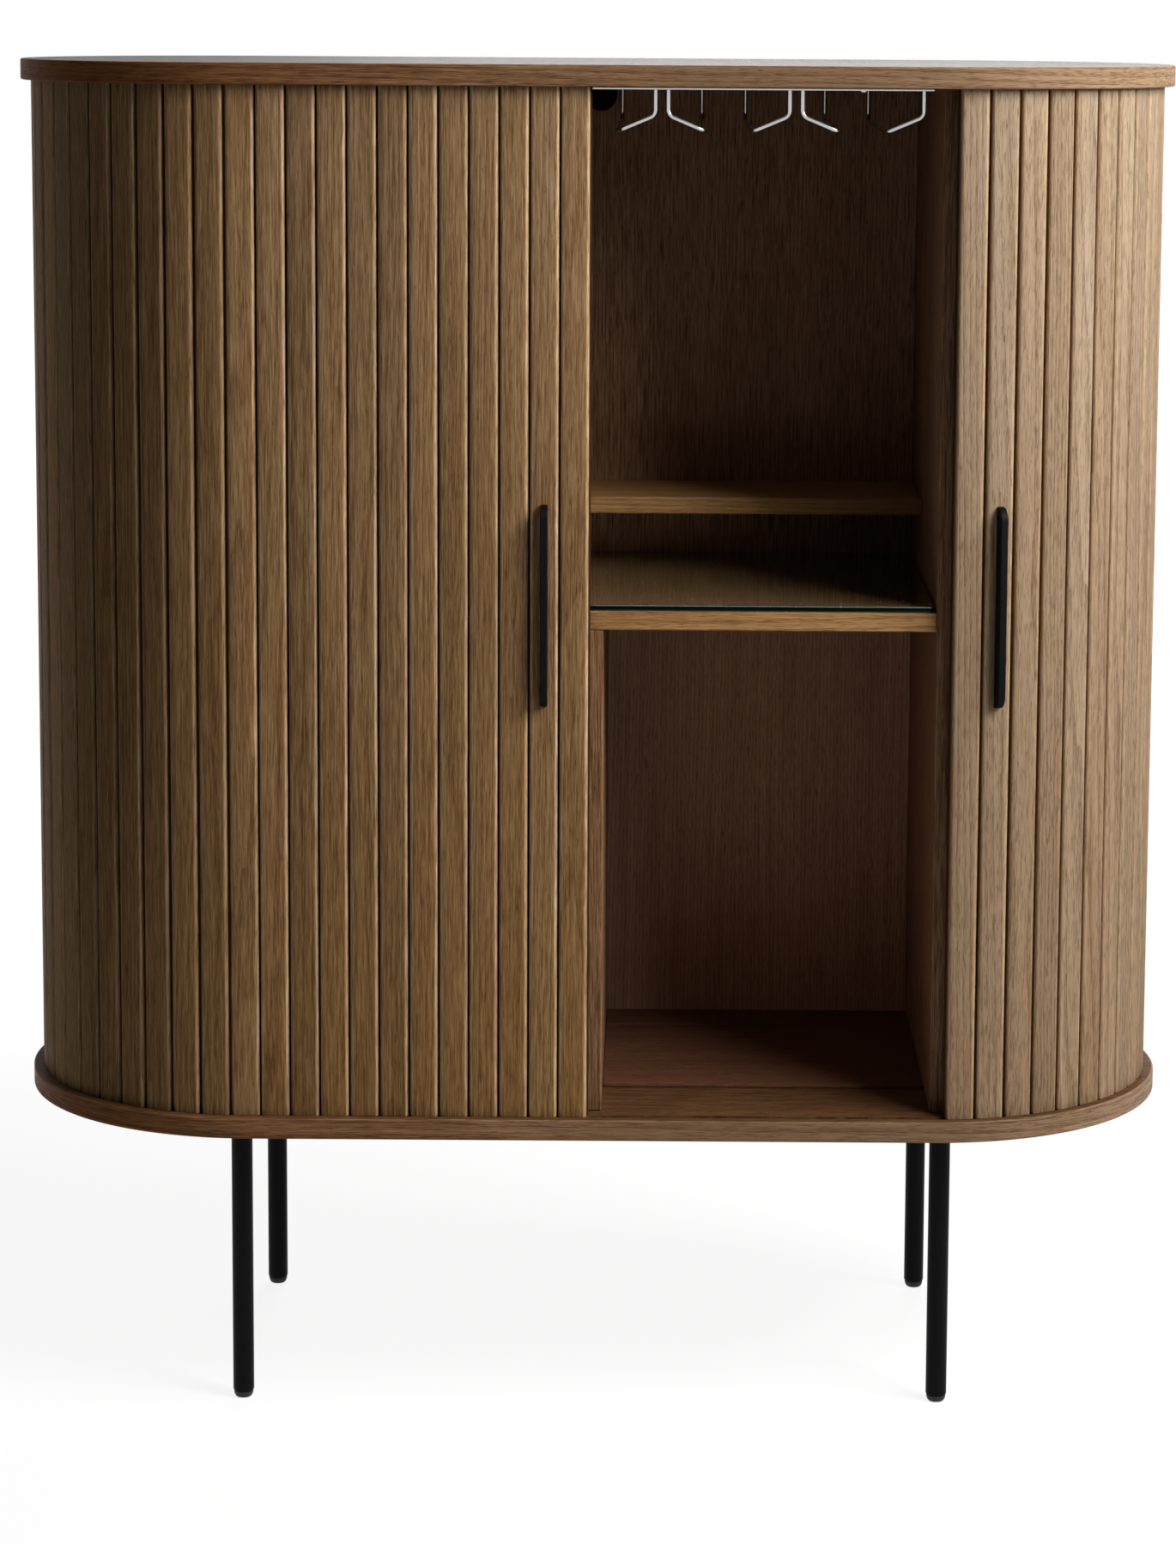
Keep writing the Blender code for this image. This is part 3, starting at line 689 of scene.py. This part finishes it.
# A board is a profile of (inset from the rim, height) carried round a stadium: each point moves in from the
# rim along the rim's normal. An inset of the whole end radius brings it to the spine, where the faces close.
def stadiumBoard(name):
    wanted = stadiumBoards[name]
    low, high = (corner.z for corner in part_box(name))
    turns = np.linspace(math.pi / 2, math.pi * 3 / 2, board["arcSteps"] + 1)
    turns = np.concatenate([turns, turns + math.pi, turns[:1]])  # the edge band's joint is at the back
    normal = np.stack([np.cos(turns), np.sin(turns)], 1)
    centre = np.stack([np.repeat([-halfRun, halfRun, -halfRun], [len(turns) // 2, len(turns) // 2, 1]),
                       np.full(len(turns), middleY)], 1)
    rim = runLength(centre + normal * endRadius)[:, None]
    fall, rise = quarter(board["edgeSteps"])
    edge = board["edge"]
    trackMiddle = endRadius - trackRadius - slatThickness / 2
    trackIn = trackMiddle + board["trackWidth"] / 2
    trackOut = trackMiddle - board["trackWidth"] / 2

    def carried(rows):
        rows = np.asarray(rows, float)
        points = np.empty((len(turns), len(rows), 3))
        points[:, :, :2] = centre[:, None] + normal[:, None] * (endRadius - rows[None, :, :1])
        points[:, :, 2] = rows[:, 1]
        return points

    sheets = []
    for height, grooved, way in ((high, wanted["grooveUp"], 1), (low, not wanted["grooveUp"], -1)):
        floor = height - way * board["trackDepth"]
        rows = [(endRadius, height), (edge, height)]
        if grooved:
            rows[1:1] = [(trackIn, height), (trackIn, floor), (trackOut, floor), (trackOut, height)]
        face = carried(held(rows))
        sheets.append(sheet(face, face[:, :, 0], face[:, :, 1], wanted["strip"] + wanted["face"]))
    upper = np.stack([edge * (1 - rise), high - edge * fall], 1)
    lower = np.stack([edge * (1 - rise), low + edge * fall], 1)[::-1]
    rows = held(np.vstack([upper, lower]))
    band = carried(rows)
    # painted shade: the edge band darkens towards the left
    fromLeft = np.clip((band[:, :, 0] - topLow.x) / (topHigh.x - topLow.x), 0.0, 1.0)
    leftBandShade, rightBandShade = wanted["band"]
    bandStrip = wanted["strip"] + 1 + leftBandShade + (rightBandShade - leftBandShade) * fromLeft
    sheets.append(sheet(band, rim, runLength(rows)[None, :], bandStrip))
    sew(name + "_oak", sheets, wanted["finish"], "carcass", [name])


for name in stadiumBoards:
    stadiumBoard(name)
print("boards:", len(stadiumBoards))

# Slabs: flat boards of the inner box, the plate, the rack's strips and the handles
sidePanel = {"flat": 0, "grain": 2, "finish": "innerOak", "edge": 0.0010, "corner": 0.0012}
shelfBoard = {"flat": 2, "grain": 0, "finish": "shelfOak", "edge": 0.0010, "corner": 0.0012}
floorBoard = {"flat": 2, "grain": 0, "finish": "floorOak", "edge": 0.0006, "corner": 0.0010}
rackStrip = {"flat": 2, "grain": 0, "finish": "chromeWire", "edge": 0.0004, "corner": 0.0020}
flatBoards = {
    "left_side_panel": sidePanel, "right_side_panel": sidePanel, "centre_divider": sidePanel,
    "niche_board": shelfBoard, "upper_shelf": shelfBoard,
    "left_floor_panel": floorBoard, "right_floor_panel": floorBoard,
    "back_panel": {"flat": 1, "grain": 2, "finish": "slatOak", "edge": 0.0008, "corner": 0.0010},
    "glass_plate": {"flat": 2, "grain": 0, "finish": "clearGlass", "edge": 0.0008, "corner": 0.0040},
    "rack_front_strip": rackStrip, "rack_rear_strip": rackStrip,
}
# stain and painted shade of a slab's faces and of its edge band, where it has any: the divider's band darker,
# and the left floor panel darker than the right, as painted shade
slabStainAndShade = {"left_side_panel": (0.6, 0.6), "right_side_panel": (0.6, 0.6), "centre_divider": (0.6, 0.88),
             "niche_board": (0.95, 0.46), "left_floor_panel": (0.4, 0.4), "right_floor_panel": (0.3, 0.3)}
slab = {"cornerSteps": 6, "edgeSteps": 3, "firstStrip": 130, "stripStep": 3}


# A slab is a profile of (inset, height) carried round a rectangle with round corners: at each inset the
# outline is the smaller rectangle whose corners have the radius less the inset. Each face is drawn in to the
# slab's middle. It is made as (long, short, thick) values about its middle, which inFrame puts in the frame.
def slabSheets(size, radii, thick, edge, inFrame, strip=0, lengthwise=True, stainAndShade=(0.0, 0.0)):
    steps = slab["cornerSteps"]
    turns = np.linspace(0.0, math.pi / 2, steps + 1)
    turns = np.concatenate([turns + corner * math.pi / 2 for corner in range(4)] + [turns[:1]])
    normal = np.stack([np.cos(turns), np.sin(turns)], 1)[:, None]
    signs = np.array([(1, 1), (-1, 1), (-1, -1), (1, -1)])
    signs = np.vstack([np.repeat(signs, steps + 1, axis=0), signs[:1]])[:, None]
    radius = np.append(np.repeat(radii, steps + 1), radii[0])[:, None, None]

    def carried(rows):
        rows = held(rows)
        inset = rows[None, :, :1]
        bend = np.maximum(radius - inset, 0.0)
        points = np.empty((len(turns), len(rows), 3))
        points[:, :, :2] = signs * (np.asarray(size) - inset - bend) + normal * bend
        points[:, :, 2] = rows[:, 1]
        return points, runLength(rows)[None, :]

    fall, rise = quarter(slab["edgeSteps"])
    upper = np.stack([edge * (1 - rise), thick - edge * fall], 1)
    sheets = []
    for height in (thick, -thick):
        ring, _ = carried([(edge + holding["inset"], height), (edge, height)])
        middle = np.broadcast_to(np.array([0.0, 0.0, height]), ring[:, :1].shape)
        face = np.concatenate([middle, ring], 1)
        along, across = (face[:, :, 0], face[:, :, 1]) if lengthwise else (face[:, :, 1], face[:, :, 0])
        sheets.append(sheet(inFrame(face), along, across, strip + stainAndShade[0]))
    band, across = carried(np.vstack([upper, upper[::-1] * np.array([1.0, -1.0])]))
    sheets.append(sheet(inFrame(band), runLength(band[:, 0])[:, None], across, strip + 1 + stainAndShade[1]))
    return sheets


def flatBoard(node, strip):
    wanted = flatBoards[node]
    low, high = (np.array(corner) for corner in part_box(node))
    half = (high - low) / 2
    thin = wanted["flat"]
    longer, shorter = sorted((axis for axis in range(3) if axis != thin), key=lambda axis: -half[axis])

    def inFrame(local):
        points = np.empty(local.shape)
        points[..., [longer, shorter, thin]] = local
        return points + (low + high) / 2

    size = (half[longer], half[shorter])
    sheets = slabSheets(size, [wanted["corner"]] * 4, half[thin], wanted["edge"], inFrame, strip,
                        longer == wanted["grain"], slabStainAndShade.get(node, (0.0, 0.0)))
    sew(node + "_" + wanted["finish"], sheets, wanted["finish"], "carcass", [node])


for place, node in enumerate(flatBoards):
    flatBoard(node, slab["firstStrip"] + slab["stripStep"] * place)
print("flat boards:", len(flatBoards))

innerBack = frame["nodes"]["inner_back"].data.materials
innerBack.clear()
innerBack.append(finishes["uprightOak"])

# Handles
handle = {"outerCorner": 0.012, "seatCorner": 0.0004, "edge": 0.0008, "slat": 2}


# a fin on its slat: an upright slab of height and reach, its outer corners round
def handlePiece(word):
    side, drawn = doors[word]["side"], doors[word]["drawn"]
    node = f"{word}_handle"
    low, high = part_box(node)
    leftLow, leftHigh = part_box("left_handle")
    middleZ = (low.z + high.z) / 2
    seat = slatThickness + slatLow.y - (leftLow.y + leftHigh.y) / 2
    spot, turn = trackPlace(side, firstRun + (handle["slat"] - 1) * slatPitch + drawn)

    def inFrame(local):
        profile = np.stack([local[..., 2].ravel(), local[..., 1].ravel() + seat], 1)
        tall = local[..., 0].reshape(-1, 1) + middleZ
        return np.concatenate([inPlan(profile, spot, turn), tall], 1).reshape(local.shape)

    size = ((high.z - low.z) / 2, (leftHigh.y - leftLow.y) / 2)
    radii = [handle["outerCorner"]] * 2 + [handle["seatCorner"]] * 2
    sheets = slabSheets(size, radii, (leftHigh.x - leftLow.x) / 2, handle["edge"], inFrame)
    sew(node + "_steel", sheets, "blackSteel", f"{word}_slat_{handle['slat']}", [node])


for word in doors:
    handlePiece(word)
print("handles:", len(doors))

turning = {"sides": 40, "girth": 0.06, "bendSteps": 4, "arcSteps": 5}


# a turned piece: a profile of (radius, height) carried round an upright axis, closed where the radius is zero
def turnedSheets(profile, x, y, sides=turning["sides"]):
    turns = np.linspace(0.0, 2 * math.pi, sides + 1)
    turns[-1] = 0.0
    profile = held(profile)
    points = np.empty((len(turns), len(profile), 3))
    points[:, :, 0] = x + np.cos(turns)[:, None] * profile[None, :, 0]
    points[:, :, 1] = y + np.sin(turns)[:, None] * profile[None, :, 0]
    points[:, :, 2] = profile[:, 1]
    across = np.linspace(0.0, turning["girth"], len(turns))[:, None]
    return [sheet(points, runLength(profile)[None, :], across)]


# rows of a rounded corner between two straight runs of a turned profile, from one direction to the other
def roundedRows(radius, height, bend, outward, downward):
    fall, rise = quarter(turning["bendSteps"])
    across = radius - bend * (1 - rise) if outward else radius - bend * fall
    tall = height - bend * fall if downward else height + bend * (1 - rise)
    return list(zip(across, tall))


# rows of a screw's low dome, a quarter arc drawn out to its radius and height, sunk a little into its seat
def domeRows(screw, seat):
    fall, rise = quarter(turning["arcSteps"])
    arc = zip(screw["radius"] * rise[1:], seat - screw["height"] * (1 - fall[1:]))
    sunk = seat + screw["sunk"]
    return [(0.0, seat - screw["height"]), *arc, (screw["radius"], sunk), (0.0, sunk)]


# Legs
leg = {"radius": 0.009, "tipBend": 0.0015, "flange": 0.004, "flangeBend": 0.0010, "weld": 0.0030}
legScrew = {"count": 3, "circle": 0.021, "firstTurn": 30.0,
            "radius": 0.0038, "height": 0.0018, "sunk": 0.0002, "sides": 16}
glide = {"radius": 0.0084, "tip": 0.0052}


def legsAndGlides():
    fall, rise = quarter(turning["arcSteps"])
    screwSheets = []
    for word in ("front_left", "front_right", "rear_left", "rear_right"):
        low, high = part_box(word + "_leg")
        x, y = (low.x + high.x) / 2, (low.y + high.y) / 2
        flangeRadius = (high.x - low.x) / 2
        under = high.z - leg["flange"]
        profile = [(0.0, high.z), (flangeRadius - leg["flangeBend"], high.z)]
        profile += roundedRows(flangeRadius, high.z, leg["flangeBend"], True, True)
        profile += roundedRows(flangeRadius, under, leg["flangeBend"], False, False)
        profile += list(zip(leg["radius"] + leg["weld"] * (1 - rise), under - leg["weld"] * fall))
        profile += roundedRows(leg["radius"], low.z, leg["tipBend"], False, False)
        profile += [(0.0, low.z)]
        sew(word + "_leg_steel", turnedSheets(profile, x, y), "blackSteel", "carcass", [word + "_leg"])
        glideLow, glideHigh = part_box(word + "_glide")
        shoulder = glide["radius"] - (glide["radius"] - glide["tip"]) * fall
        tall = glideHigh.z - (glideHigh.z - glideLow.z) * rise
        rows = [(0.0, glideHigh.z), *zip(shoulder, tall), (0.0, glideLow.z)]
        sew(word + "_glide_plastic", turnedSheets(rows, x, y), "blackPlastic", "carcass", [word + "_glide"])
        dome = domeRows(legScrew, under)
        for number in range(legScrew["count"]):
            turn = 2 * math.pi * number / legScrew["count"] + math.radians(legScrew["firstTurn"])
            screwX = x + legScrew["circle"] * math.cos(turn)
            screwY = y + legScrew["circle"] * math.sin(turn)
            screwSheets += turnedSheets(dome, screwX, screwY, legScrew["sides"])
    sew("leg_screws", screwSheets, "blackSteel", "carcass")
    print("legs and glides: 4 of each")


legsAndGlides()

# Wires of the glass rack
wire = {"radius": 0.002, "postDrop": 0.021, "bend": 0.007, "bendSteps": 8, "sides": 18, "count": 10,
        "aside": (0.28, 0.93, 0.24)}
rackScrew = {"fromMiddle": 0.222, "radius": 0.0036, "height": 0.0024, "sunk": 0.0002, "sides": 20}


# a route through corner points, each inner corner replaced by an arc of the bend radius
def bentRoute(corners):
    bend = wire["bend"]
    share = np.linspace(0.0, 1.0, wire["bendSteps"] + 1)[:, None]
    route = [corners[:1]]
    for before, corner, after in zip(corners, corners[1:], corners[2:]):
        back = (before - corner) / np.linalg.norm(before - corner)
        ahead = (after - corner) / np.linalg.norm(after - corner)
        halfAngle = math.acos(float(back @ ahead)) / 2
        bisector = (back + ahead) / np.linalg.norm(back + ahead)
        centre = corner + bisector * bend / math.sin(halfAngle)
        start = corner + back * bend / math.tan(halfAngle) - centre
        end = corner + ahead * bend / math.tan(halfAngle) - centre
        sweep = math.pi - 2 * halfAngle
        swung = start * np.sin((1 - share) * sweep) + end * np.sin(share * sweep)
        route.append(centre + swung / math.sin(sweep))
    route.append(corners[-1:])
    return np.concatenate(route)


# a round section carried along a route, its two cross directions taken square to the route; each end is drawn
# in to the route's own end
def tubeSheets(route, strip):
    radius, sides = wire["radius"], wire["sides"]
    heading = np.gradient(route, axis=0)
    heading /= np.linalg.norm(heading, axis=1, keepdims=True)
    first = np.cross(heading, np.array(wire["aside"]))
    first /= np.linalg.norm(first, axis=1, keepdims=True)
    second = np.cross(heading, first)
    turns = np.linspace(0.0, 2 * math.pi, sides + 1)
    turns[-1] = 0.0
    ring = first[:, None] * np.cos(turns)[None, :, None] + second[:, None] * np.sin(turns)[None, :, None]
    points = route[:, None] + radius * ring
    points = np.concatenate([np.broadcast_to(route[:1, None], points[:1].shape), points,
                             np.broadcast_to(route[-1:, None], points[-1:].shape)])
    along = np.concatenate([[0.0], runLength(route), [0.0]])[:, None]
    return [sheet(points, along, np.linspace(0.0, 2 * math.pi * radius, sides + 1)[None, :], strip)]


def glassRack():
    radius = wire["radius"]
    for number in range(1, wire["count"] + 1):
        node = f"rack_wire_{number}"
        low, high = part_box(node)
        ends = (low.x + radius, high.x - radius)
        post, tip = ends if number % 2 else ends[::-1]
        front, rear = low.y + radius, high.y - radius
        corners = np.array([(post, front, high.z), (post, front, high.z - wire["postDrop"]),
                            (tip, front, low.z + radius), (tip, rear, low.z + radius), (tip, rear, high.z)])
        sew(node + "_chrome", tubeSheets(bentRoute(corners), number), "chromeWire", "carcass", [node])
    heads = []
    for node in ("rack_front_strip", "rack_rear_strip"):
        low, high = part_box(node)
        dome = domeRows(rackScrew, low.z)
        for side in (-1, 1):
            x, y = side * rackScrew["fromMiddle"], (low.y + high.y) / 2
            heads += turnedSheets(dome, x, y, rackScrew["sides"])
    sew("rack_screws", heads, "chromeWire", "carcass")
    print("rack wires:", wire["count"])


glassRack()

# Studio
studio = {"floorSize": 30.0, "floorShade": 0.80, "floorGlow": 0.76, "glowStrength": 1.15, "shadowReach": 1.0,
          "fadeRate": 0.5, "fill": 0.060, "white": (1.0, 1.0, 1.0, 1.0)}
lamps = {"key": {"place": (1.60, -0.97, 2.00), "aim": (0.1, -0.1, 1.50), "size": (1.5, 1.3), "power": 80.0},
         "rim": {"place": (0.35, 2.6, 1.9), "aim": (0.0, 0.2, 0.7), "size": (1.6, 1.4), "power": 40.0}}


# 1 where a camera, mirror or glass ray looks, so that the pale ground shows there without lighting the object
def seenDirectly(start):
    rays = start.node("LightPath")
    seen = rays.maths("MAXIMUM", rays, rays.other("Is Glossy Ray"))
    seen = rays.maths("MAXIMUM", seen, rays.other("Is Transmission Ray"))
    return seen * rays.maths("LESS_THAN", rays.other("Diffuse Depth"), 0.5)


def emptied(owner):
    owner.use_nodes = True
    owner.node_tree.nodes.clear()
    return Wire(owner.node_tree)


# a flat square of four cells: matt, so that it takes the shadow, and glowing white away from the object
def paleFloor():
    made = bpy.data.materials.new("paleFloor")
    start = emptied(made)
    shade = studio["floorShade"]
    matt = start.node("BsdfDiffuse", None, {"Color": (shade, shade, shade, 1.0)})
    glow = start.node("Emission", None, {"Color": studio["white"], "Strength": studio["glowStrength"]})
    x, y, _ = objectPlace(start)
    far = (((x * x + y * y) ** 0.5 - studio["shadowReach"]) * studio["fadeRate"]).clamped()
    share = studio["floorGlow"] + far * (1.0 - studio["floorGlow"])
    both = start.node("MixShader", None, {0: seenDirectly(start) * share, 1: matt, 2: glow})
    start.node("OutputMaterial", None, {0: both})
    spread = np.linspace(-studio["floorSize"], studio["floorSize"], 3)
    points = np.stack([*np.meshgrid(spread, spread, indexing="ij"), np.zeros((3, 3))], -1)
    cells = gridCells(np.arange(9).reshape(3, 3))
    mesh = bpy.data.meshes.new("pale_floor")
    mesh.from_pydata(points.reshape(-1, 3).tolist(), [], cells.tolist())
    mesh.materials.append(made)
    floor = bpy.data.objects.new("pale_floor", mesh)
    bpy.context.scene.collection.objects.link(floor)


def studioWorld():
    world = bpy.data.worlds.new("studio")
    bpy.context.scene.world = world
    start = emptied(world)
    light = seenDirectly(start) * (1.0 - studio["fill"]) + studio["fill"]
    backdrop = start.node("Background", None, {"Color": studio["white"], "Strength": light})
    start.node("OutputWorld", None, {0: backdrop})


def softBox(name):
    wanted = lamps[name]
    lamp = bpy.data.lights.new(name, "AREA")
    lamp.shape = "RECTANGLE"
    lamp.size, lamp.size_y = wanted["size"]
    lamp.energy = wanted["power"]
    holder = bpy.data.objects.new(name, lamp)
    holder.location = wanted["place"]
    away = Vector(wanted["place"]) - Vector(wanted["aim"])
    holder.rotation_euler = away.to_track_quat("Z", "Y").to_euler()
    bpy.context.scene.collection.objects.link(holder)


paleFloor()
studioWorld()
for name in lamps:
    softBox(name)

# Camera: focal length and centre in pixels of the photograph's frame, and turns in degrees
view = {"frame": (1370.0, 1827.0), "centre": (767.8, 600.0), "focal": 4628.0, "sensor": 36.0,
        "place": (0.0564, -3.4727, 1.20), "level": 90.0, "pitch": 7.337, "yaw": 0.02, "roll": 0.365}


def photoCamera():
    lens = bpy.data.cameras.new("photo")
    wide, tall = view["frame"]
    lens.sensor_width = view["sensor"]
    lens.lens = view["focal"] / tall * lens.sensor_width
    lens.shift_x = (wide / 2 - view["centre"][0]) / tall
    lens.shift_y = (view["centre"][1] - tall / 2) / tall
    holder = bpy.data.objects.new("photo", lens)
    turn = Matrix.Rotation(math.radians(view["yaw"]), 4, "Z")
    tilt = Matrix.Rotation(math.radians(view["level"] - view["pitch"]), 4, "X")
    roll = Matrix.Rotation(math.radians(view["roll"]), 4, "Z")
    holder.matrix_world = Matrix.Translation(view["place"]) @ turn @ tilt @ roll
    bpy.context.scene.collection.objects.link(holder)
    bpy.context.scene.camera = holder


photoCamera()
bpy.context.scene.view_settings.view_transform = "Standard"
print("studio and camera ready")
